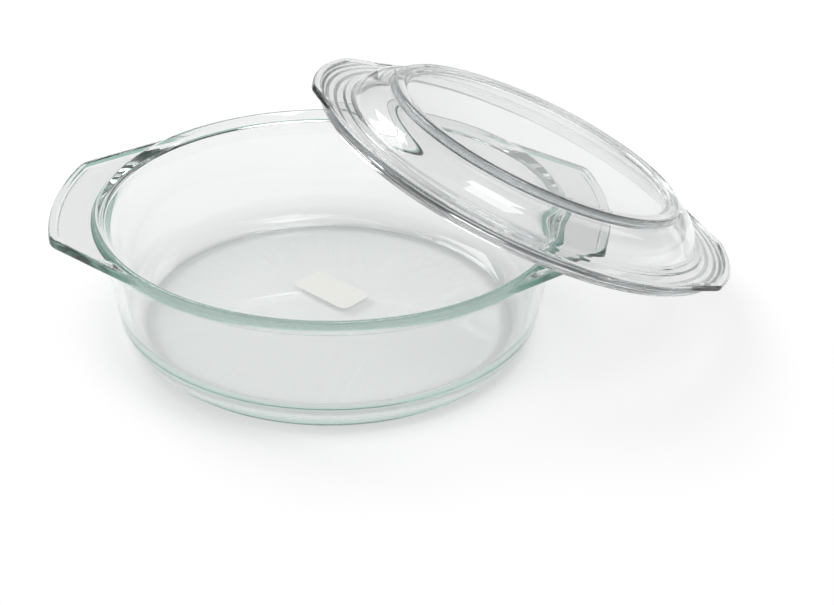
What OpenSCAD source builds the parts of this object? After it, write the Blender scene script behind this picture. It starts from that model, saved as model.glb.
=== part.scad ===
// Round covered baking dish in pressed heat-resistant glass, with its lid leaning on the rim.
// Millimetres. The origin is the middle of the dish's foot on the table, +X runs along the
// handles, +Z is up.

/* [Dish] */
// Outer radius of the rim band
rim_r = 112; // [100:0.5:125]
// Height from the table to the crest of the rim
dish_h = 65.2; // [58:0.1:85]
// Thickness of the side wall
wall_t = 4.6; // [3.6:0.1:6]
// Thickness of the floor
floor_t = 5.5; // [4:0.1:7]
// Outward lean of the side wall, in degrees
wall_lean = 8.5; // [5:0.5:12]
// Radius of the outer curve between wall and base
base_curve_r = 24; // [18:0.5:28]
// How much of the outer curve the flat foot cuts away
base_cut = 4.5; // [3:0.1:6]
// Radius of the inner curve between floor and wall
floor_curve_r = 18; // [12:0.5:22]

/* [Rim] */
// Height of the thick band round the mouth
band_h = 6.9; // [6:0.1:9]
// How far the band stands out from the wall
band_out = 2.2; // [1:0.1:3.5]
// Width of the lip from the mouth to the outside of the band
lip_w = 3.7; // [3:0.1:5]
// Drop of the lip from its crest to the mouth, which seats the lid
land_drop = 2; // [1.2:0.1:2.6]
// Height over which the inner wall flares out to the mouth
flare_h = 13; // [9:0.5:18]

/* [Dish handles] */
// Distance from the middle of the dish to the outer edge of a handle
handle_reach = 132.5; // [126:0.5:150]
// Half the width of a handle across its corners
handle_half_w = 46; // [36:0.5:52]
// Radius of the corners of a handle, seen from above
handle_corner_r = 12; // [6:0.5:12]
// Radius of the slightly curved outer edge of a handle
handle_edge_r = 150; // [150:5:260]
// Thickness of a handle at its raised border
handle_t = 5.2; // [4.4:0.1:6.2]
// How far the border of a handle lies below the crest of the rim
handle_drop = 1.3; // [0.9:0.1:1.6]
// Width of the raised border
border_w = 3.6; // [2.8:0.1:4.4]
// Height of the raised border above the sunk middle of a handle
border_h = 1.9; // [1.2:0.1:2.2]

/* [Lid] */
// How far the plate of the lid reaches over the mouth on each side
seat_overlap = 1; // [0.8:0.05:1.2]
// Thickness of the plate
plate_t = 4.6; // [4:0.1:5.4]
// Height of the raised edge round the plate and its handles
edge_h = 0.9; // [0.5:0.1:1.4]
// Width of the raised edge
edge_w = 3.2; // [2.6:0.1:4]
// Height of the lid from the underside of the plate to the top of the ring
lid_h = 21.8; // [20:0.1:28]
// Thickness of the domed wall and of the middle panel
dome_t = 4.3; // [3.6:0.1:5]
// Outer radius of the top ring
ring_r = 78.4; // [70:0.2:82]
// Width of the top ring
ring_w = 6.2; // [5:0.1:7.5]
// How far the middle panel lies below the top of the ring
panel_drop = 2.2; // [1.5:0.1:3]
// Width of the low step round the foot of the dome
step_w = 4.2; // [3:0.1:6]
// Height of that step above the plate
step_h = 0.9; // [0.5:0.1:1.4]
// Gap between the dome's step and the seat of the lid
step_gap = 11.6; // [10:0.2:14]
// Depth of the locating ring under the plate
locate_h = 2; // [1.2:0.1:3]
// Width of the locating ring
locate_w = 3.4; // [2.5:0.1:5]
// Clearance between the locating ring and the mouth of the dish
locate_gap = 2.2; // [1.6:0.1:3]

/* [Lid handles] */
// How far a handle of the lid stands out from the plate
lid_handle_out = 5.2; // [5:0.1:16]
// Half the width of a lid handle across its corners
lid_handle_half_w = 42; // [32:0.5:44]
// Radius of the corners of a lid handle
lid_corner_r = 12; // [8:0.5:14]
// Radius of the curved outer edge of a lid handle
lid_edge_r = 120; // [100:5:200]
// Clearance between a lid handle and the crest of the rim when the dish is closed
lid_handle_gap = 0.4; // [0.3:0.1:1]

/* [Lid resting place] */
// Tilt of the leaning lid about the front to back line, in degrees
lid_tilt = 23; // [20:0.5:26]
// Turn of the leaning lid about the upright, in degrees
lid_turn = 12.5; // [8:0.5:16]
// Turn of the leaning lid about its own axis, in degrees, which says where its handles point
lid_spin = -26; // [-32:0.5:-20]
// Middle of the leaning lid to the right of the dish's middle
lid_x = 94; // [90:0.1:98]
// Middle of the leaning lid behind the dish's middle
lid_y = 37.8; // [30:0.1:40]
// Clearance between the underside of the leaning lid and the dish, straight up
lid_rest_gap = 0.5; // [0.3:0.05:0.8]

/* [Label] */
// Length of the blank paper label on the floor
label_l = 37; // [25:0.5:50]
// Width of the label
label_w = 20; // [14:0.5:30]
// Thickness of the label
label_t = 0.3; // [0.2:0.05:0.5]
// Radius of the label's corners
label_corner_r = 2.5; // [1:0.1:5]
// Turn of the label, in degrees
label_turn = -42; // [-90:1:90]
// Middle of the label behind the dish's middle
label_y = 18; // [-30:0.5:30]

/* [Hidden] */
$fn = 96;

// Small roundings of the pressed glass
soft_r = 1.2;
tight_r = 0.6;
arc_steps = 6;
edge_steps = 3;
root_steps = 10;
flank_steps = 24;
crest_steps = 120;
settle_steps = 24;
// How far cuts run past the faces that they cut
overrun = 1;

// Places on the dish that follow from its sizes
band_z = dish_h - band_h;
mouth_r = rim_r - lip_w;
mouth_z = dish_h - land_drop;
wall_top_r = rim_r - band_out;
floor_z = floor_t;
handle_top_z = dish_h - handle_drop;
flank_in = 0.4;
root_land = 0.8;

// Places on the lid that follow from the mouth of the dish
plate_r = mouth_r + seat_overlap;
lid_reach = plate_r + lid_handle_out;
handle_lift = land_drop + lid_handle_gap;
locate_r = mouth_r - locate_gap;
step_r = plate_r - step_gap;
dome_r = step_r - step_w;
panel_z = lid_h - panel_drop;
ring_neck = 1;
ring_round_share = 1 / 3;
ring_round_r = ring_w * ring_round_share;
neck_z = panel_z - dome_t / 2;
hollow_top_r = ring_r - dome_t;
pocket_h = 0.3;
hollow_low_r = dome_r - dome_t / 2;
under_z = panel_z - dome_t;

function unit(v) = v / norm(v);
function turned(a) = a > 180 ? a - 360 : (a < -180 ? a + 360 : a);
function angle_of(v) = atan2(v[1], v[0]);

// Points of the arc that rounds corner b, between its neighbours a and c
function corner(a, b, c, r) =
    let(u = unit(a - b), v = unit(c - b), half = acos(u * v) / 2)
    let(centre = b + unit(u + v) * r / sin(half), reach = r / tan(half))
    let(from = angle_of(b + u * reach - centre), to = angle_of(b + v * reach - centre))
    [for (i = [0:arc_steps]) centre + r * along(from + turned(to - from) * i / arc_steps)];
function along(a) = [cos(a), sin(a)];

// An outline from corners given as [x, y, radius]
function flat(p) = [p[0], p[1]];
function rounded(path) =
    let(n = len(path))
    [for (i = [0:n - 1]) each path[i][2] > 0
        ? corner(flat(path[(i + n - 1) % n]), flat(path[i]), flat(path[(i + 1) % n]), path[i][2])
        : [flat(path[i])]];

// Points of a smooth curve from a to c that leaves and arrives along the lines through b
function curve(a, b, c, steps) =
    [for (i = [0:steps]) let(t = i / steps) a * (1 - t) * (1 - t) + b * 2 * t * (1 - t) + c * t * t];

// Outer and inner radius of the leaning side wall at height z
function wall_r(z) = wall_top_r - (band_z - z) * tan(wall_lean);
function inside_r(z) = wall_r(z) - wall_t / cos(wall_lean);

// Corner points of a handle's plan on its +Y side: the edge arc, then the rounded corner
function handle_side(body_r, size, inset) =
    let(half_w = size[1], corner_r = size[2], edge_r = size[3], ex = size[0] - edge_r, cy = half_w - corner_r)
    let(cx = ex + sqrt(pow(edge_r - corner_r, 2) - cy * cy), c = [cx, cy], edge_a = atan2(cy, cx - ex))
    let(flank_a = angle_of(c) + acos((body_r - corner_r) / norm(c)))
    concat(
        [for (i = [0:edge_steps - 1]) [ex, 0] + (edge_r - inset) * along(edge_a * i / edge_steps)],
        [for (i = [0:arc_steps]) c + (corner_r - inset) * along(edge_a + (flank_a - edge_a) * i / arc_steps)],
        [body_r - inset > size[4] ? (body_r - inset) * along(flank_a)
            : size[4] * along(flank_a - acos((body_r - inset) / size[4]))]
    );

// Plan of a handle on the +X side, whose flanks are tangent to the circle body_r. size holds
// reach, half width, corner radius, edge radius and the radius of the arc that closes the root
module handle_plan(body_r, size, inset) {
    side = handle_side(body_r, size, inset);
    n = len(side);
    root_a = angle_of(side[n - 1]);
    polygon(concat(
        [for (i = [n - 1:-1:1]) [side[i][0], -side[i][1]]],
        side,
        [for (i = [0:root_steps]) size[4] * along(root_a - 2 * root_a * i / root_steps)]
    ));
}

// A handle with softened edges, from low_z up to top_z
module handle_slab(body_r, size, low_z, top_z) {
    tall = top_z - low_z;
    translate([0, 0, low_z + tight_r]) linear_extrude(tall - 2 * tight_r) handle_plan(body_r, size, 0);
    translate([0, 0, low_z]) linear_extrude(tall) handle_plan(body_r, size, tight_r);
}

// Half section of the dish, from the middle of the foot round to the middle of the floor
module dish_section() {
    curve_z = dish_h - flare_h;
    bend_z = mouth_z - 2 * land_drop;
    mouth = [mouth_r, mouth_z];
    intersection() {
        polygon(concat(
            rounded([
                [0, -base_cut, 0],
                [wall_r(-base_cut), -base_cut, base_curve_r],
                [wall_r(band_z), band_z, tight_r],
                [rim_r, band_z, soft_r],
                [rim_r, dish_h, soft_r],
                [rim_r - lip_w / 2, dish_h, tight_r],
                [mouth_r, mouth_z, 0]
            ]),
            curve(mouth, [inside_r(bend_z), bend_z], [inside_r(curve_z), curve_z], arc_steps),
            rounded([
                [inside_r(curve_z), curve_z, 0],
                [inside_r(floor_z), floor_z, floor_curve_r],
                [0, floor_z, 0]
            ])
        ));
        square([rim_r + overrun, dish_h + overrun]);
    }
}

// Reach, half width, corner, edge and root radius of a handle, and of the sunk middle's root
dish_handle = [handle_reach, handle_half_w, handle_corner_r, handle_edge_r, rim_r - lip_w / 2];
module baking_dish() {
    sunk = [handle_reach, handle_half_w, handle_corner_r, handle_edge_r, rim_r + root_land];
    color([0.62, 0.8, 0.73, 0.7])
    difference() {
        union() {
            rotate_extrude() dish_section();
            for (a = [0, 180]) rotate([0, 0, a])
                handle_slab(rim_r - flank_in, dish_handle, handle_top_z - handle_t, handle_top_z);
        }
        for (a = [0, 180]) rotate([0, 0, a]) translate([0, 0, handle_top_z - border_h])
            linear_extrude(border_h + overrun) handle_plan(rim_r - flank_in, sunk, border_w);
    }
}

// Curve of the hollow under the dome, from its foot in to the flat middle
hollow_side = curve([hollow_low_r, soft_r], [hollow_low_r - dome_t / 2, under_z],
    [hollow_top_r - dome_t, under_z], arc_steps);

// Underside of the lid as radius and height, from its middle out past its edge
underside = concat([[0, under_z]], hollow_side, [
    [hollow_low_r + soft_r, 0],
    [locate_r - locate_w - tight_r, 0],
    [locate_r - locate_w, -locate_h],
    [locate_r, -locate_h],
    [locate_r + tight_r, 0],
    [plate_r, 0],
    [plate_r + soft_r, lid_h]
]);

// Outline of a handle's +Y side with points along its flank, which leaves the rim as a tangent
function handle_line(inset) =
    let(side = handle_side(rim_r - flank_in, dish_handle, inset), n = len(side))
    concat(side, [for (i = [1:flank_steps - 1]) side[n - 2] + (side[n - 1] - side[n - 2]) * i / flank_steps]);

// Edges that the lid can come down on: those of the +X handle and the crest of the rim
top_edges = concat(
    [for (inset = [0, tight_r], p = handle_line(inset), side = [-1, 1])
        [p[0], side * p[1], handle_top_z - tight_r + inset]],
    [for (i = [1:crest_steps]) [each (rim_r - soft_r) * along(360 * i / crest_steps), dish_h]]
);

// The leaning lid comes straight down until its underside is lid_rest_gap above the dish.
// Each halving of the height that is left keeps the half in which that happens
lid_axis = [sin(lid_tilt) * cos(lid_turn), sin(lid_tilt) * sin(lid_turn), cos(lid_tilt)];
function clear_at(z, p) =
    let(d = p + [0, 0, lid_rest_gap] - [lid_x, lid_y, z], up = d * lid_axis)
    up < lookup(norm(d - up * lid_axis), underside);
function all_clear(z) = len([for (p = top_edges) if (!clear_at(z, p)) p]) == 0;
function settle(low, high, steps) =
    let(mid = (low + high) / 2)
    steps == 0 ? high : (all_clear(mid) ? settle(low, mid, steps - 1) : settle(mid, high, steps - 1));
lid_z = settle(0, dish_h + plate_r, settle_steps);

module lid_place() {
    translate([lid_x, lid_y, lid_z]) rotate([0, lid_tilt, lid_turn]) rotate([0, 0, lid_spin]) children();
}

// Half section of the lid, from the middle of the panel out to the plate and back underneath
module lid_section() {
    edge_top = plate_t + edge_h;
    dome_foot = plate_t + step_h + soft_r / 2;
    polygon(concat(
        rounded([
            [0, panel_z, 0],
            [ring_r - ring_w - panel_drop / 2, panel_z, tight_r],
            [ring_r - ring_w, lid_h, ring_round_r],
            [ring_r, lid_h, ring_round_r],
            [ring_r, neck_z + ring_neck * 2, tight_r],
            [ring_r - ring_neck, neck_z + ring_neck, 0]
        ]),
        curve([ring_r, neck_z], [dome_r - dome_t / 2, neck_z], [dome_r, dome_foot], arc_steps),
        rounded([
            [dome_r + soft_r, plate_t + step_h, 0],
            [step_r, plate_t + step_h, tight_r],
            [step_r + step_h, plate_t, 0],
            [plate_r - edge_w - edge_h, plate_t, 0],
            [plate_r - edge_w, edge_top, tight_r],
            [plate_r, edge_top, soft_r],
            [plate_r, 0, soft_r],
            [locate_r + tight_r, 0, 0],
            [locate_r, -locate_h, tight_r],
            [locate_r - locate_w, -locate_h, tight_r],
            [locate_r - locate_w - tight_r, 0, 0],
            [hollow_low_r + soft_r, 0, 0]
        ]),
        hollow_side,
        [[0, under_z]]
    ));
}

module lid() {
    handle = [lid_reach, lid_handle_half_w, lid_corner_r, lid_edge_r, plate_r - edge_w / 2];
    sunk = [lid_reach, lid_handle_half_w, lid_corner_r, lid_edge_r, step_r + step_h + tight_r];
    color([0.74, 0.83, 0.81, 0.7])
    lid_place()
    difference() {
        union() {
            rotate_extrude() lid_section();
            for (a = [0, 180]) rotate([0, 0, a])
                handle_slab(plate_r - flank_in, handle, handle_lift, plate_t + edge_h);
        }
        for (a = [0, 180]) rotate([0, 0, a]) translate([0, 0, plate_t - pocket_h])
            linear_extrude(edge_h + pocket_h + overrun) handle_plan(plate_r - flank_in, sunk, edge_w);
    }
}

module paper_label() {
    flat_l = label_l - 2 * label_corner_r;
    flat_w = label_w - 2 * label_corner_r;
    color([0.93, 0.92, 0.88])
    translate([0, label_y, floor_z]) rotate([0, 0, label_turn])
    linear_extrude(label_t) {
        square([flat_l, label_w], center = true);
        square([label_l, flat_w], center = true);
        for (x = [-1, 1], y = [-1, 1]) translate([x * flat_l / 2, y * flat_w / 2]) circle(r = label_corner_r);
    }
}

baking_dish();
lid();
paper_label();
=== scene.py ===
import math

import bpy
import numpy as np
from mathutils import Matrix, Vector


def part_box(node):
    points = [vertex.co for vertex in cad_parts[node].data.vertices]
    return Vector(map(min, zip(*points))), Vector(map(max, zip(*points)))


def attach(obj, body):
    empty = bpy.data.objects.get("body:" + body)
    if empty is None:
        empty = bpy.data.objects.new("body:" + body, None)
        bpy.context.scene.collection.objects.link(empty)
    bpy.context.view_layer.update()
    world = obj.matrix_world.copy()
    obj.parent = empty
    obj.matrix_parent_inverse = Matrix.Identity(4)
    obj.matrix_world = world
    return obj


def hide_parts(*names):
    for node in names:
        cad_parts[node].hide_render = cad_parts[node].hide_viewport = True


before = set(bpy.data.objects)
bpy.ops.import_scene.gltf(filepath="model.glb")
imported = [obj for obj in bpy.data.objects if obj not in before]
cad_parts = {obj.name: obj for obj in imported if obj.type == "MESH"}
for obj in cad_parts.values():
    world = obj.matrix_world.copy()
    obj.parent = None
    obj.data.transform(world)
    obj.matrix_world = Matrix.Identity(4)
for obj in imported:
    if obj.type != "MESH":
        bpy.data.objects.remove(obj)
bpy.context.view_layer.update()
mm = 0.001
print("frame loaded:", ", ".join(sorted(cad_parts)))


# small tools for shapes

flatStep = 24 * mm      # longest stretch between two rings on flat glass
wallStep = 7 * mm       # and on a wall
bendGap = 1 * mm        # how close to a bend the next ring stands
ringGap = 0.01 * mm     # a point closer to a ring than this belongs to it
quarterTurn = [math.pi / 2 * i / 4 for i in range(5)]


def along(angle):
    return Vector((math.cos(angle), math.sin(angle)))


def smooth(t):
    t = max(0, min(1, t))
    return t * t * (3 - 2 * t)


def roundCorner(before, corner, after, radius, steps):
    # points of the arc that rounds a corner of a line
    a, b, c = Vector(before), Vector(corner), Vector(after)
    u, v = (a - b).normalized(), (c - b).normalized()
    half = math.acos(max(-1, min(1, u.dot(v)))) / 2
    centre = b + (u + v).normalized() * radius / math.sin(half)
    start = b + u * radius / math.tan(half) - centre
    end = b + v * radius / math.tan(half) - centre
    turn = start.angle_signed(end)
    return [tuple(centre + Matrix.Rotation(-turn * i / steps, 2) @ start) for i in range(steps + 1)]


def roundedLine(corners, steps):
    # corners are (radius, height, rounding)
    line = []
    for i, (r, z, rounding) in enumerate(corners):
        if rounding:
            line += roundCorner(corners[i - 1][:2], (r, z), corners[i + 1][:2], rounding, steps)
        else:
            line.append((r, z))
    return line


def bend(a, b, c, steps):
    # a smooth curve from a to c that leaves and arrives along the lines through b
    a, b, c = Vector(a), Vector(b), Vector(c)
    shares = [i / steps for i in range(steps + 1)]
    return [tuple(a * (1 - t) ** 2 + b * 2 * t * (1 - t) + c * t * t) for t in shares]


def spread(r, low, high, count):
    # rings of one radius, evenly between two heights
    return [(r, low + (high - low) * (i + 1) / (count + 1)) for i in range(count)]


def withSupport(line, nearby, longest):
    # extra points close to both ends of long straight stretches keep smooth shading flat there
    out = [line[0]]
    for a, b in zip(line, line[1:]):
        a, b = Vector(a), Vector(b)
        length = (b - a).length
        if length > 3 * nearby:
            inner = max(1, math.ceil((length - 2 * nearby) / longest))
            stops = [nearby + (length - 2 * nearby) * i / inner for i in range(inner + 1)]
            out += [tuple(a + (b - a) * s / length) for s in stops]
        out.append(tuple(b))
    return out


# small tools for Blender's own operators

def startPiece(name):
    bpy.ops.object.select_all(action="DESELECT")
    bpy.ops.mesh.primitive_plane_add(size=1)
    piece = bpy.context.object
    piece.name = piece.data.name = name
    return piece


def latheTurn(name, line, steps):
    # one point is pushed along the half section, and a screw without pitch turns the line round the upright
    piece = startPiece(name)
    bpy.ops.object.mode_set(mode="EDIT")
    bpy.ops.mesh.select_all(action="SELECT")
    bpy.ops.mesh.merge(type="CENTER")
    bpy.ops.transform.translate(value=(line[0][0], 0, line[0][1]))
    for (r0, z0), (r1, z1) in zip(line, line[1:]):
        bpy.ops.mesh.extrude_region_move(TRANSFORM_OT_translate={"value": (r1 - r0, 0, z1 - z0)})
    bpy.ops.object.mode_set(mode="OBJECT")
    turn = piece.modifiers.new("turn", "SCREW")
    turn.axis = "Z"
    turn.angle = 2 * math.pi
    turn.steps = turn.render_steps = steps
    turn.use_merge_vertices = True
    turn.merge_threshold = ringGap / 10
    bpy.ops.object.modifier_apply(modifier=turn.name)
    return piece


def finishSkin(piece):
    # faces outward, smooth all over
    bpy.ops.object.select_all(action="DESELECT")
    piece.select_set(True)
    bpy.context.view_layer.objects.active = piece
    bpy.ops.object.mode_set(mode="EDIT")
    bpy.ops.mesh.select_all(action="SELECT")
    bpy.ops.mesh.normals_make_consistent(inside=False)
    bpy.ops.object.mode_set(mode="OBJECT")
    bpy.ops.object.shade_smooth()


# handles: the rings of the rim are pulled out to the outline of the handle

def handlePlan(reach, halfWidth, cornerR, edgeR, rootR):
    # plan of a handle: edge arc, rounded corner, and a flank that leaves the circle rootR as a tangent
    edgeX = reach - edgeR
    cy = halfWidth - cornerR
    corner = Vector((edgeX + math.sqrt((edgeR - cornerR) ** 2 - cy ** 2), cy))
    flankTurn = math.atan2(corner.y, corner.x) + math.acos((rootR - cornerR) / corner.length)
    return {"edgeX": edgeX, "edgeR": edgeR, "corner": corner, "cornerR": cornerR, "rootR": rootR,
            "edgeTurn": math.atan2(cy, corner.x - edgeX), "flankTurn": flankTurn}


def planRadius(plan, turn, inset):
    # distance from the axis to the handle's outline, drawn in by inset, at an azimuth from 0 to 90 degrees
    u = along(turn)
    corner = plan["corner"]
    cornerR = plan["cornerR"] - inset
    near = corner + along(plan["edgeTurn"]) * cornerR
    far = corner + along(plan["flankTurn"]) * cornerR
    if turn < math.atan2(near.y, near.x):
        return plan["edgeX"] * u.x + math.sqrt((plan["edgeR"] - inset) ** 2 - (plan["edgeX"] * u.y) ** 2)
    if turn < math.atan2(far.y, far.x):
        ahead = corner.dot(u)
        return ahead + math.sqrt(cornerR ** 2 - corner.length_squared + ahead ** 2)
    return (plan["rootR"] - inset) / math.cos(max(0, plan["flankTurn"] - turn))


def underEdge(shares, shift, r, bottom, top):
    # rings of a handle's underside, rounded lower edge and middle of the edge: (inset, share, shift, height)
    rings = [(r, share, shift, bottom) for share in shares]
    rings += [(r * (1 - math.sin(a)), 1, 0, bottom + r * (1 - math.cos(a))) for a in quarterTurn]
    return rings + [(0, 1, 0, (top + bottom) / 2)]


def pullHandles(piece, line, rings, plan, ease, rise, greenAndPaintedDarkRings):
    # rings[i] says where the ring at line[i] goes as the handle stands out: it waits at height rest until
    # the outline drawn in by inset comes out too, takes its share of the distance from anchor to that
    # outline, plus shift, and ends at height. Where the ring's last entry says so, and along the extra rings
    # passed apart, the glass takes the greenish tint of light running far through it, darkened further as
    # painted dark edge lines
    points = np.zeros(len(piece.data.vertices) * 3)
    piece.data.vertices.foreach_get("co", points)
    points = points.reshape(-1, 3)
    radius = np.hypot(points[:, 0], points[:, 1])
    heights = points[:, 2].copy()
    turns = np.arctan2(np.abs(points[:, 1]), np.abs(points[:, 0]))
    green = np.zeros(len(radius))
    body = max(r for r, z in line)
    known = {}

    def outline(turn, inset):
        key = (inset, round(turn, 5))
        if key not in known:
            known[key] = planRadius(plan, turn, inset)
        return known[key]

    def onRing(i):
        r, z = line[i]
        return np.flatnonzero((np.abs(radius - r) < ringGap) & (np.abs(heights - z) < ringGap))

    for i in greenAndPaintedDarkRings:
        green[onRing(i)] = 1
    for i, (inset, anchor, share, shift, rest, height, isGreenAndPaintedDark) in rings.items():
        for v in onRing(i):
            out = max(0, outline(turns[v], inset) - anchor)
            stand = out * out / (2 * ease) if out < ease else out - ease / 2
            begun = smooth((outline(turns[v], 0) - body) / rise)
            weight = smooth(out / rise)
            points[v, :2] *= (line[i][0] + shift * weight + share * stand) / radius[v]
            points[v, 2] += (rest - line[i][1]) * begun + (height - rest) * weight
            green[v] = max(green[v], weight * isGreenAndPaintedDark)
    piece.data.vertices.foreach_set("co", points.ravel())
    piece.data.attributes.new("green", "FLOAT", "POINT").data.foreach_set("value", green)
    piece.data.update()


# the dish

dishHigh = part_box("baking_dish")[1]
dish = {
    "rimR": dishHigh.y,
    "height": dishHigh.z,
    "reach": dishHigh.x,
    "wall": 4.6 * mm,
    "floor": 5.5 * mm,
    "lean": math.radians(8.5),
    "outerCurve": 24 * mm,
    "innerCurve": 18 * mm,
    "footCut": 4.5 * mm,        # the curve under the wall is cut off flat this far above its lowest point
    "footSlope": math.radians(35),
    "footRound": 1.2 * mm,
    "footRise": 0.3 * mm,
    "bandHeight": 6.9 * mm,
    "bandOut": 2.2 * mm,
    "bandRound": 1.2 * mm,
    "bandRootRound": 0.6 * mm,
    "lip": 3.7 * mm,
    "landDrop": 2 * mm,
    "crestRound": 0.8 * mm,
    "mouthRound": 0.7 * mm,
    "flare": 13 * mm,
    "handleHalfWidth": 46 * mm,
    "handleCorner": 12 * mm,
    "handleEdge": 150 * mm,
    "handleRootIn": 0.4 * mm,   # the flanks are tangents of a circle this far inside the rim
    "handleThick": 5.2 * mm,
    "handleDrop": 1.3 * mm,
    "handleEase": 0.4 * mm,     # a ring starts to follow the outline over this distance
    "handleRise": 1.8 * mm,     # and takes the handle's heights over this one
    "edgeRound": 1.5 * mm,
    "underShift": 0.3 * mm,
    "underShares": (0.04, 0.3, 0.6, 0.86),
    "border": 3.6 * mm,
    "flatShare": 0.6,           # of the border, where its flat top has a ring
    "sunk": 1.9 * mm,
    "slopeIn": 0.4 * mm,        # the slope into the pocket takes this much of the border
    "slopeWidth": 1.6 * mm,
    "slopeShares": (0, 0.15, 0.4, 0.65, 0.9, 1),
    "pocketIn": 1.4 * mm,
    "pocketRoot": 1.6 * mm,
    "pocketShares": (0.9, 0.6, 0.3, 0.08),
    "rootSlope": [(1.5, 0), (1.2, 0.15), (0.9, 0.5), (0.6, 1.1), (0.3, 1.7), (0.12, 2)],    # mm out and up
    "turnSteps": 720,
}


def dishRings(d, low, high):
    # rings between the underside of the handle and the crest
    r, border = d["edgeRound"], d["border"]
    top = d["height"] - d["handleDrop"]
    bottom = top - d["handleThick"]
    floorZ = top - d["sunk"]
    edge = underEdge(d["underShares"], d["underShift"], r, bottom, top)
    edge += [(r * (1 - math.cos(a)), 1, 0, top - r * (1 - math.sin(a))) for a in quarterTurn]
    edge += [(border * d["flatShare"], 1, 0, top)]
    pocket = [(border - d["slopeIn"] + d["slopeWidth"] * s, 1, 0, top - d["sunk"] * smooth(s))
              for s in d["slopeShares"]]
    pocket += [(border + d["pocketIn"], share, d["pocketRoot"] * (1 - share), floorZ)
               for share in d["pocketShares"]]
    pocket += [(border, 0, shift * mm, floorZ + lift * mm) for shift, lift in d["rootSlope"]]
    rests = [height for *_, height in edge]
    rests += [z for r, z in spread(0, top, high, len(pocket))]
    # rings that get the greenish tint of thick glass, darkened further as painted dark edge lines: the
    # middle of the handle's outer edge and the pocket's root slope
    isGreenAndPaintedDark = [inset == 0 for inset, *_ in edge]
    isGreenAndPaintedDark += [share == 0 and height > floorZ for inset, share, shift, height in pocket]
    line = spread(d["rimR"], low, high, len(edge) + len(pocket))
    return line, [(inset, d["rimR"], share, shift, rest, height, tinted)
                  for (inset, share, shift, height), rest, tinted in zip(edge + pocket, rests, isGreenAndPaintedDark)]


def makeDish(d):
    rimR, height, soft = d["rimR"], d["height"], d["bandRound"]
    bandZ = height - d["bandHeight"]
    mouthZ = height - d["landDrop"]
    bendZ = mouthZ - 2 * d["landDrop"]
    flareZ = height - d["flare"]

    def wallR(z):
        return rimR - d["bandOut"] - (bandZ - z) * math.tan(d["lean"])

    def insideR(z):
        return wallR(z) - d["wall"] / math.cos(d["lean"])

    wallTop, bandLow, bandHigh = (wallR(bandZ), bandZ), (rimR, bandZ), (rimR, height)
    crest, mouth = (rimR - d["lip"] / 2, height), (rimR - d["lip"], mouthZ)
    flareTop, flareFoot = (insideR(bendZ), bendZ), (insideR(flareZ), flareZ)

    wall = roundedLine([(0, -d["footCut"], 0), (wallR(-d["footCut"]), -d["footCut"], d["outerCurve"]),
                        (*wallTop, 0)], steps=14)
    wall = [p for p in wall if p[1] > 0]
    footR = wall[0][0] - wall[0][1] / math.tan(d["footSlope"])
    foot = withSupport([(0, 0), (footR - d["footRound"], 0)], d["footRise"], flatStep)
    foot += [(footR - d["footRound"] / 3, d["footRise"] / 5), (footR, d["footRise"])]
    under = roundCorner((wallR(bandZ - soft), bandZ - soft), wallTop, bandLow, d["bandRootRound"], steps=3)
    outside = foot + withSupport(wall, bendGap, wallStep)[:-1] + under
    rimUnder = roundCorner(wallTop, bandLow, bandHigh, soft, steps=5)
    rimTop = roundCorner(bandLow, bandHigh, crest, soft, steps=6)
    bandLine, rings = dishRings(d, rimUnder[-1][1], rimTop[0][1])
    crestIn = roundCorner(bandHigh, crest, mouth, d["crestRound"], steps=4)
    lip = roundCorner(crest, mouth, flareTop, d["mouthRound"], steps=4)
    flare = bend(lip[-1], flareTop, flareFoot, steps=9)
    inside = roundedLine([(*flareFoot, 0), (insideR(d["floor"]), d["floor"], d["innerCurve"]),
                          (0, d["floor"], 0)], steps=16)
    line = outside + rimUnder + bandLine + rimTop + crestIn + lip[:-1] + flare
    line += withSupport(inside[:-1], bendGap, wallStep)[1:] + withSupport(inside[-2:], bendGap, flatStep)[1:]
    piece = latheTurn("glassDish", line, d["turnSteps"])

    start = len(outside) + len(rimUnder)
    wanted = {start + i: ring for i, ring in enumerate(rings)}
    bottom = rings[0][-2]
    for i in range(1, len(rimUnder)):   # the band's lower corner turns into the handle's underside
        share = i / (len(rimUnder) - 1)
        z = bandZ + (bottom - bandZ) * share
        wanted[len(outside) + i] = (d["edgeRound"], rimR, 0, d["underShift"] * share, z, z, False)
    plan = handlePlan(d["reach"] + d["handleEase"] / 2, d["handleHalfWidth"], d["handleCorner"],
                      d["handleEdge"], rimR - d["handleRootIn"])
    # the middle of the band's lower corner gets the greenish tint and a painted dark line
    greenAndPaintedDarkRings = [len(outside) + 2, len(outside) + 3]    # the middle of the band's lower corner
    pullHandles(piece, line, wanted, plan, d["handleEase"], d["handleRise"], greenAndPaintedDarkRings)
    finishSkin(piece)
    return piece


glassDish = makeDish(dish)
print("dish:", len(glassDish.data.polygons), "faces")


# the lid, made level and then laid where the CAD lid leans

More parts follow.
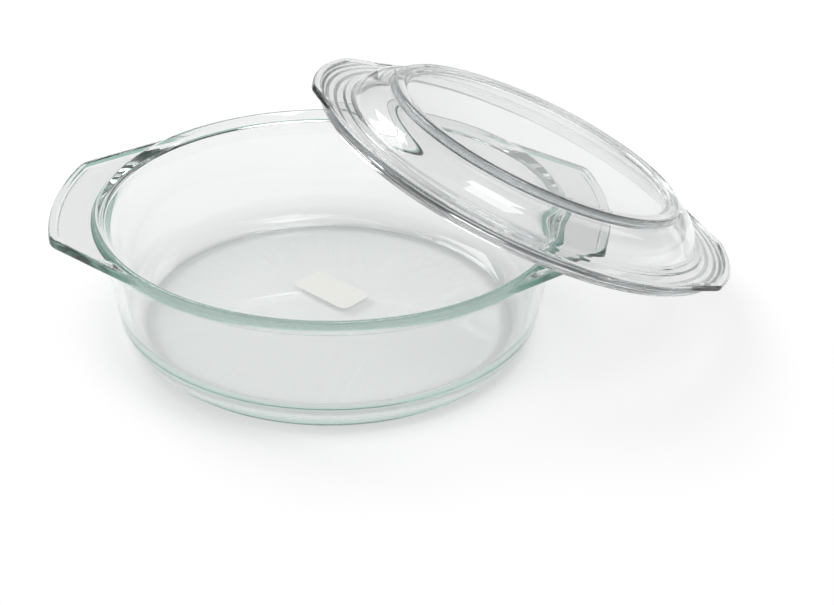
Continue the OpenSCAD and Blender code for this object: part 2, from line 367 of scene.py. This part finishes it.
lidLow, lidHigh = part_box("lid")
lid = {
    "plateR": 109.27 * mm,
    "plate": 4.6 * mm,
    "plateRound": 1.2 * mm,
    "plateGap": 0.5 * mm,       # rings of the plate: the first after the step, the last before the edge
    "plateEndGap": 0.3 * mm,
    "plateStep": 3 * mm,
    "edgeRise": 0.9 * mm,
    "edgeWidth": 3.2 * mm,
    "edgeSlope": 1.2 * mm,
    "edgeRound": 1.1 * mm,
    "slopeShares": (0, 0.2, 0.5, 0.8, 1),
    "flatShare": 0.6,           # of the raised edge, where its flat top has a ring
    "height": 21.76 * mm,
    "glass": 4.3 * mm,
    "ringR": 78.4 * mm,
    "ringWidth": 6.2 * mm,
    "ringRound": 2 * mm,
    "panelDrop": 2.2 * mm,
    "panelRound": 0.9 * mm,
    "panelGap": 0.4 * mm,
    "neckRound": 0.6 * mm,      # the ring overhangs a neck
    "neckHigh": 2 * mm,
    "neckIn": 1 * mm,
    "domeIn": 0.6 * mm,         # where the dome starts under the ring
    "domeUp": 0.1 * mm,
    "domeRise": 3 * mm,         # the slope into the dome's foot points at this height over the plate
    "footWidth": 1.2 * mm,
    "footRound": 0.8 * mm,
    "stepWidth": 4.2 * mm,
    "stepGap": 11.6 * mm,
    "stepRound": 0.6 * mm,
    "locateDeep": 2 * mm,
    "locateR": 106.1 * mm,
    "locateWidth": 3.4 * mm,
    "locateLean": 0.6 * mm,
    "locateRound": 0.9 * mm,
    "locateRootRound": 1.5 * mm,
    "hollowUp": 1.68 * mm,
    "hollowRise": 4 * mm,
    "reach": 114.53 * mm,
    "handleHalfWidth": 42 * mm,
    "handleCorner": 12 * mm,
    "handleEdge": 120 * mm,
    "handleRootIn": 0.4 * mm,
    "handleUnder": 2.4 * mm,
    "handleEase": 0.3 * mm,
    "handleRise": 1.2 * mm,
    "underShares": (0.05, 0.35, 0.7),
    "tilt": math.radians(23),
    "turn": math.radians(12.5),
    "spin": math.radians(-26),
    "turnSteps": 720,
}


def lidRings(d, low, high):
    # rings of the plate's rim from its top edge down to its rounded underside
    rings = underEdge(d["underShares"], 0, d["edgeRound"], d["handleUnder"], d["plate"] + d["edgeRise"])
    line = spread(d["plateR"], low, high, len(rings))
    # the middle of the plate's rim edge gets the greenish tint and a painted dark line
    return line[::-1], [(inset, d["plateR"], share, shift, height, height, inset == 0)
                        for inset, share, shift, height in rings[::-1]]


def makeLid(d):
    plateR, plate, height, glass, ringR = d["plateR"], d["plate"], d["height"], d["glass"], d["ringR"]
    edgeTop = plate + d["edgeRise"]
    edgeFoot = plateR - d["edgeWidth"] - d["edgeSlope"]
    stepR = plateR - d["stepGap"]
    stepFoot = stepR + d["edgeRise"]
    domeR = stepR - d["stepWidth"]
    hollowR = domeR - glass / 2
    panelZ = height - d["panelDrop"]
    neckZ = panelZ - glass / 2
    underZ = panelZ - glass
    ringIn = ringR - d["ringWidth"]
    panelR = ringIn - d["panelDrop"] / 2
    locateIn = d["locateR"] - d["locateWidth"]

    panel = withSupport([(0, panelZ), (panelR - bendGap, panelZ)], d["panelGap"], flatStep)[:-1]
    ring = roundedLine([(0, panelZ, 0), (panelR, panelZ, d["panelRound"]), (ringIn, height, d["ringRound"]),
                        (ringR, height, d["ringRound"]), (ringR, neckZ + d["neckHigh"], d["neckRound"]),
                        (ringR - d["neckIn"], neckZ + d["neckHigh"] / 2, 0)], steps=6)[1:]
    dome = bend((ringR - d["domeIn"], neckZ + d["domeUp"]), (hollowR, neckZ),
                (domeR, edgeTop + d["footWidth"] / 2), steps=16)
    step = roundedLine([(domeR, plate + d["domeRise"], 0), (domeR + d["footWidth"], edgeTop, d["footRound"]),
                        (stepR, edgeTop, d["stepRound"]), (stepFoot, plate, d["stepRound"]),
                        (plateR, plate, 0)], steps=3)[1:-1]
    plateTop = withSupport([(stepFoot + d["plateGap"], plate), (edgeFoot - d["plateEndGap"], plate)],
                           d["plateGap"], d["plateStep"])
    edgeIn = [(edgeFoot + d["edgeSlope"] * s, plate + d["edgeRise"] * smooth(s)) for s in d["slopeShares"]]
    edgeFlat = [(plateR - d["edgeWidth"] * d["flatShare"], edgeTop)]
    edgeOut = roundCorner((0, edgeTop), (plateR, edgeTop), (plateR, 0), d["edgeRound"], steps=5)
    underOut = roundCorner((plateR, edgeTop), (plateR, 0), (0, 0), d["plateRound"], steps=4)
    rimLine, rings = lidRings(d, underOut[0][1], edgeOut[-1][1])
    under = roundedLine([(plateR, 0, 0), (d["locateR"] + d["locateLean"], 0, d["locateRound"]),
                         (d["locateR"], -d["locateDeep"], d["locateRound"]),
                         (locateIn, -d["locateDeep"], d["locateRound"]),
                         (locateIn - 2 * d["locateLean"], 0, d["locateRootRound"]),
                         (hollowR + d["footWidth"], 0, d["locateRound"]),
                         (hollowR, d["hollowRise"], 0)], steps=3)[1:-1]
    hollow = bend((hollowR, d["hollowUp"]), (domeR - glass, underZ), (ringR - 2 * glass, underZ), steps=16)
    underMiddle = withSupport([(ringR - 2 * glass - bendGap, underZ), (0, underZ)], bendGap, flatStep)
    topSide = panel + ring + dome + step + plateTop + edgeIn + edgeFlat + edgeOut
    line = topSide + rimLine + underOut + under + hollow + underMiddle
    piece = latheTurn("glassLid", line, d["turnSteps"])

    wanted = {len(topSide) + i: r for i, r in enumerate(rings)}
    start = len(panel) + len(ring) + len(dome) + len(step)
    plateStart = line[start][0]
    for i in range(start, len(topSide)):        # plate top and raised edge follow the outline
        r, z = line[i]
        if r < edgeFoot:
            share = (r - plateStart) / (edgeFoot - plateStart)
            wanted[i] = (plateR - edgeFoot, edgeFoot, share, 0, z, z, False)
        else:
            # the outermost ring of the raised edge gets the greenish tint and a painted dark line
            wanted[i] = (plateR - r, r, 1, 0, z, z, plateR - r < ringGap)
    plan = handlePlan(d["reach"], d["handleHalfWidth"], d["handleCorner"], d["handleEdge"],
                      plateR - d["handleRootIn"])
    neck = len(panel) + len(ring)
    # painted dark lines, with the greenish tint, under the top ring and round the plate's underside
    greenAndPaintedDarkRings = [neck - 4, neck - 3, len(topSide) + len(rimLine) + 2]       # under the top ring and the plate
    pullHandles(piece, line, wanted, plan, d["handleEase"], d["handleRise"], greenAndPaintedDarkRings)
    finishSkin(piece)

    lean = Matrix.Rotation(d["turn"], 4, "Z") @ Matrix.Rotation(d["tilt"], 4, "Y")
    piece.data.transform(lean @ Matrix.Rotation(d["spin"], 4, "Z"))
    low = Vector(map(min, *[v.co for v in piece.data.vertices]))
    high = Vector(map(max, *[v.co for v in piece.data.vertices]))
    piece.data.transform(Matrix.Translation((lidLow + lidHigh) / 2 - (low + high) / 2))
    return piece


glassLid = makeLid(lid)
print("lid:", len(glassLid.data.polygons), "faces")


# the blank paper label on the floor of the dish

labelLow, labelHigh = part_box("paper_label")
label = {
    "length": 37 * mm,
    "width": 20 * mm,
    "corner": 4 * mm,
    "turn": math.radians(-42),
    "thick": 0.12 * mm,
    "lift": 0.02 * mm,
}


def makeLabel(d):
    piece = startPiece("paperLabel")
    bpy.ops.object.mode_set(mode="EDIT")
    bpy.ops.mesh.select_all(action="SELECT")
    bpy.ops.transform.resize(value=(d["length"], d["width"], 1))
    bpy.ops.mesh.bevel(offset=d["corner"], segments=6, affect="VERTICES")
    bpy.ops.object.mode_set(mode="OBJECT")
    shell = piece.modifiers.new("sheet", "SOLIDIFY")
    shell.thickness = d["thick"]
    shell.offset = 1
    bpy.ops.object.modifier_apply(modifier=shell.name)
    middle = (labelLow + labelHigh) / 2
    place = Matrix.Translation((middle.x, middle.y, labelLow.z + d["lift"]))
    piece.data.transform(place @ Matrix.Rotation(d["turn"], 4, "Z"))
    return piece


paperLabel = makeLabel(label)
print("label:", len(paperLabel.data.polygons), "faces")


# materials

class Link:
    # wraps a socket so that arithmetic on it adds Math nodes
    def __init__(self, build, socket):
        self.build = build
        self.socket = socket

    def maths(self, operation, *values):
        return self.build.node("ShaderNodeMath", {"operation": operation}, dict(enumerate(values)))

    def __add__(self, other):
        return self.maths("ADD", self, other)

    def __radd__(self, other):
        return self.maths("ADD", other, self)

    def __mul__(self, other):
        return self.maths("MULTIPLY", self, other)

    def __rmul__(self, other):
        return self.maths("MULTIPLY", other, self)

    def over(self, other):
        return self.maths("MAXIMUM", self, other)


class Build:
    # one node tree, empty at the start
    def __init__(self, tree):
        self.tree = tree
        tree.nodes.clear()

    def node(self, kind, settings=None, values=None, output=0):
        made = self.tree.nodes.new(kind)
        for name, value in (settings or {}).items():
            if name == "stops":
                while len(made.color_ramp.elements) < len(value):
                    made.color_ramp.elements.new(0.5)
                for stop, (place, colour) in zip(made.color_ramp.elements, value):
                    stop.position = place
                    stop.color = (*colour, 1)
            else:
                setattr(made, name, value)
        for name, value in (values or {}).items():
            if isinstance(value, Link):
                self.tree.links.new(value.socket, made.inputs[name])
            else:
                made.inputs[name].default_value = value
        return Link(self, made.outputs[output])

    def rayIs(self, kind):
        return self.node("ShaderNodeLightPath", output=f"Is {kind} Ray")

    def finish(self, kind, **ends):
        out = self.tree.nodes.new(kind)
        for name, end in ends.items():
            self.tree.links.new(end.socket, out.inputs[name])


def newMaterial(name):
    material = bpy.data.materials.new(name)
    material.use_nodes = True
    return material, Build(material.node_tree)


def wear(piece, material):
    piece.data.materials.clear()
    piece.data.materials.append(material)


dishGlass = {
    "ior": 1.47,
    "tint": (0.925, 0.92, 0.923, 1),
    # edge colour: the greenish tint of thick glass, darkened further as a painted dark edge line
    "edgeGreenAndPaintedDark": (0.16, 0.34, 0.28, 1),
    "depthColour": (0.10, 0.49, 0.37, 1),
    "depth": 6.3,
    "ripple": 0.02,
    "rippleScale": 38,
    "rippleDepth": 1 * mm,
    "shadow": 0.985,
    "edgeShadow": 0.4,
    "heelR": 84 * mm,
    "heelSoft": 6 * mm,
    "heelHeight": 12 * mm,
    "heelShade": 0.5,       # the thick heel round the foot keeps light off the table
}
lidGlass = {
    "ior": 1.47,
    "tint": (0.895, 0.898, 0.902, 1),
    # edge colour: a grey-green tint of thick glass, darkened further as a painted dark edge line
    "edgeGreenAndPaintedDark": (0.30, 0.35, 0.35, 1),
    "depthColour": (0.30, 0.42, 0.40, 1),
    "depth": 3.5,
    "ripple": 0.03,
    "rippleScale": 38,
    "rippleDepth": 1 * mm,
    "shadow": 0.955,
    "edgeShadow": 0.4,
}


def heel(build, place, g):
    # how much light the heel keeps back: most at the table, none inside heelR or above heelHeight
    x, y, z = [build.node("ShaderNodeSeparateXYZ", {}, {0: place}, output=i) for i in range(3)]
    lowest = build.node("ShaderNodeMapRange", {"interpolation_type": "SMOOTHSTEP"}, {
        "Value": z, "From Min": g["heelHeight"], "From Max": 0, "To Min": 0, "To Max": g["heelShade"]})
    widest = build.node("ShaderNodeMapRange", {}, {
        "Value": x * x + y * y, "From Min": g["heelR"] ** 2, "From Max": (g["heelR"] + g["heelSoft"]) ** 2})
    return widest * lowest


def pressedGlass(name, g):
    material, build = newMaterial(name)
    place = build.node("ShaderNodeTexCoord", output=3)
    broad = build.node("ShaderNodeTexNoise", {}, {
        "Vector": place, "Scale": g["rippleScale"], "Detail": 1, "Roughness": 0.4})
    bump = build.node("ShaderNodeBump", {}, {
        "Height": broad, "Strength": g["ripple"], "Distance": g["rippleDepth"]})
    # rings marked by the attribute take the edge colour: greenish tint plus painted dark edge lines
    green = build.node("ShaderNodeAttribute", {"attribute_name": "green"}, output="Fac")
    tint = build.node("ShaderNodeMix", {"data_type": "RGBA"}, {
        0: green, 6: g["tint"], 7: g["edgeGreenAndPaintedDark"]}, output=2)
    glass = build.node("ShaderNodeBsdfPrincipled", {}, {
        "Base Color": tint, "Roughness": 0.0, "IOR": g["ior"], "Transmission Weight": 1.0, "Normal": bump})
    # shadow and diffuse rays pass straight through, with less light where they meet the glass at a slant
    slant = build.node("ShaderNodeLayerWeight", {}, {"Blend": 0.5}, output=1)
    kept = slant * slant * slant
    if "heelR" in g:
        kept = kept.over(heel(build, place, g))
    face, edge = [build.node("ShaderNodeBsdfTransparent", {}, {"Color": (g[side],) * 3 + (1,)})
                  for side in ("shadow", "edgeShadow")]
    clear = build.node("ShaderNodeMixShader", {}, {0: kept, 1: face, 2: edge})
    mixed = build.node("ShaderNodeMixShader", {}, {
        0: build.rayIs("Shadow").over(build.rayIs("Diffuse")), 1: glass, 2: clear})
    depth = build.node("ShaderNodeVolumeAbsorption", {}, {"Color": g["depthColour"], "Density": g["depth"]})
    build.finish("ShaderNodeOutputMaterial", Surface=mixed, Volume=depth)
    return material


wear(glassDish, pressedGlass("dishGlass", dishGlass))
wear(glassLid, pressedGlass("lidGlass", lidGlass))

labelPaper = {
    "dark": (0.88, 0.875, 0.83, 1),
    "light": (0.96, 0.955, 0.92, 1),
    "fibreScale": 900,
    "patchScale": 70,
    "roughness": 0.85,
    "fibreShare": 0.35,
    "patchShare": 0.5,
    "fibreBump": 0.3,
    "fibreDepth": 0.05 * mm,
    "letsBy": 0.7,      # thin paper lets light by
}


def paper(name, p):
    material, build = newMaterial(name)
    place = build.node("ShaderNodeTexCoord", output=3)
    fibre = build.node("ShaderNodeTexNoise", {}, {
        "Vector": place, "Scale": p["fibreScale"], "Detail": 4, "Roughness": 0.7})
    patch = build.node("ShaderNodeTexNoise", {}, {"Vector": place, "Scale": p["patchScale"], "Detail": 2})
    colour = build.node("ShaderNodeMix", {"data_type": "RGBA"}, {
        0: fibre * p["fibreShare"] + patch * p["patchShare"], 6: p["dark"], 7: p["light"]}, output=2)
    bump = build.node("ShaderNodeBump", {}, {
        "Height": fibre, "Strength": p["fibreBump"], "Distance": p["fibreDepth"]})
    sheet = build.node("ShaderNodeBsdfPrincipled", {}, {
        "Base Color": colour, "Roughness": p["roughness"], "Normal": bump})
    clear = build.node("ShaderNodeBsdfTransparent")
    mixed = build.node("ShaderNodeMixShader", {}, {
        0: build.rayIs("Shadow") * p["letsBy"], 1: sheet, 2: clear})
    build.finish("ShaderNodeOutputMaterial", Surface=mixed)
    return material


wear(paperLabel, paper("labelPaper", labelPaper))
print("materials made")


# who moves with what

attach(glassDish, "dish")
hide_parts("baking_dish")
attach(glassLid, "lid")
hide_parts("lid")
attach(paperLabel, "dish")
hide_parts("paper_label")


# floor, background, lamps and camera

studio = {
    "floor": 0.88,
    "floorR": 0.9,      # white paper near the dish; glass edges catch the dark room past it
    "floorGlow": 0.2,
    "world": 0.35,
    "bounces": 24,      # light runs a long way inside rims and handles
    "sky": [   # what glass shows: height of the direction, grey
        (0.0, 0.25), (0.05, 0.95), (0.09, 0.85), (0.14, 0.45), (0.30, 0.25), (0.50, 0.14), (1.0, 0.20),
    ],
    "nearSide": 0.35,   # the sky on the photographer's side, as a share of the far side
    "sideFade": (-0.4, 0.3),
    "lampAim": Vector((0, 0, 30)) * mm,
    "lamps": [   # place, size, power
        ((-2.83, 2.55, 4.24), (3.0, 2.6), 137),
        ((1.29, -0.90, 5.48), (2.2, 2.2), 92),
        ((3.04, 3.89, 2.85), (2.6, 2.4), 24),
    ],
}


def makeFloor(s):
    bpy.ops.object.select_all(action="DESELECT")
    bpy.ops.mesh.primitive_circle_add(vertices=96, radius=s["floorR"], fill_type="NGON")
    floor = bpy.context.object
    floor.name = floor.data.name = "floor"
    material, build = newMaterial("floorPaint")
    paint = build.node("ShaderNodeBsdfDiffuse", {}, {"Color": (s["floor"],) * 3 + (1,)})
    seen = build.rayIs("Camera").over(build.rayIs("Glossy")).over(build.rayIs("Transmission"))
    glow = build.node("ShaderNodeEmission", {}, {"Strength": seen * s["floorGlow"]})
    both = build.node("ShaderNodeAddShader", {}, {0: paint, 1: glow})
    build.finish("ShaderNodeOutputMaterial", Surface=both)
    wear(floor, material)


def makeWorld(s):
    world = bpy.data.worlds.new("studio")
    world.use_nodes = True
    bpy.context.scene.world = world
    build = Build(world.node_tree)
    direction = build.node("ShaderNodeTexCoord", output=0)
    ahead, height = [build.node("ShaderNodeSeparateXYZ", {}, {0: direction}, output=i) for i in (1, 2)]
    side = build.node("ShaderNodeMapRange", {"interpolation_type": "SMOOTHSTEP"}, {
        "Value": ahead, "From Min": s["sideFade"][0], "From Max": s["sideFade"][1],
        "To Min": s["nearSide"], "To Max": 1})
    stops = [(place, (grey,) * 3) for place, grey in s["sky"]]
    ceiling = build.node("ShaderNodeValToRGB", {"stops": stops}, {0: height})
    bent = build.node("ShaderNodeMix", {"data_type": "RGBA"}, {
        0: build.rayIs("Glossy").over(build.rayIs("Transmission")), 6: (s["world"],) * 3 + (1,),
        7: ceiling * side}, output=2)
    colour = build.node("ShaderNodeMix", {"data_type": "RGBA"}, {
        0: build.rayIs("Camera"), 6: bent, 7: (1, 1, 1, 1)}, output=2)
    sky = build.node("ShaderNodeBackground", {}, {"Color": colour, "Strength": 1.0})
    build.finish("ShaderNodeOutputWorld", Surface=sky)


def makeLamp(i, place, size, power):
    bpy.ops.object.light_add(type="AREA", location=place)
    lamp = bpy.context.object
    lamp.name = f"softbox{i}"
    lamp.data.shape = "RECTANGLE"
    lamp.data.size, lamp.data.size_y = size
    lamp.data.energy = power
    lamp.rotation_mode = "QUATERNION"
    lamp.rotation_quaternion = (Vector(place) - studio["lampAim"]).to_track_quat("Z", "Y")


makeFloor(studio)
makeWorld(studio)
for i, (place, size, power) in enumerate(studio["lamps"]):
    makeLamp(i, place, size, power)

view = {
    "aim": Vector((26.4, 67.7, 0)) * mm,
    "distance": 810.7 * mm,
    "down": 0.502,      # radians below level
    "roll": 0.021,
    "focal": 1500,      # in pixels of the picture
    "picture": (834, 605),
    "axis": (384, 253.5),   # pixel that the lens points at
    "sensor": 36,       # mm
}


def makeCamera(v):
    ahead = Vector((0, math.cos(v["down"]), -math.sin(v["down"])))
    up = Vector((0, math.sin(v["down"]), math.cos(v["down"])))
    right = Vector((1, 0, 0))
    c, s = math.cos(v["roll"]), math.sin(v["roll"])
    right, up = c * right + s * up, c * up - s * right
    bpy.ops.object.camera_add(location=v["aim"] - v["distance"] * ahead)
    camera = bpy.context.object
    camera.rotation_mode = "QUATERNION"
    camera.rotation_quaternion = Matrix((right, up, -ahead)).transposed().to_quaternion()
    width, height = v["picture"]
    camera.data.sensor_width = v["sensor"]
    camera.data.lens = v["focal"] * v["sensor"] / width
    camera.data.shift_x = (width / 2 - v["axis"][0]) / width
    camera.data.shift_y = -(height / 2 - v["axis"][1]) / width
    bpy.context.scene.camera = camera


makeCamera(view)
scene = bpy.context.scene
scene.view_settings.view_transform = "Standard"
cycles = scene.cycles
cycles.max_bounces = cycles.glossy_bounces = cycles.transmission_bounces = studio["bounces"]
print("stage and camera set")
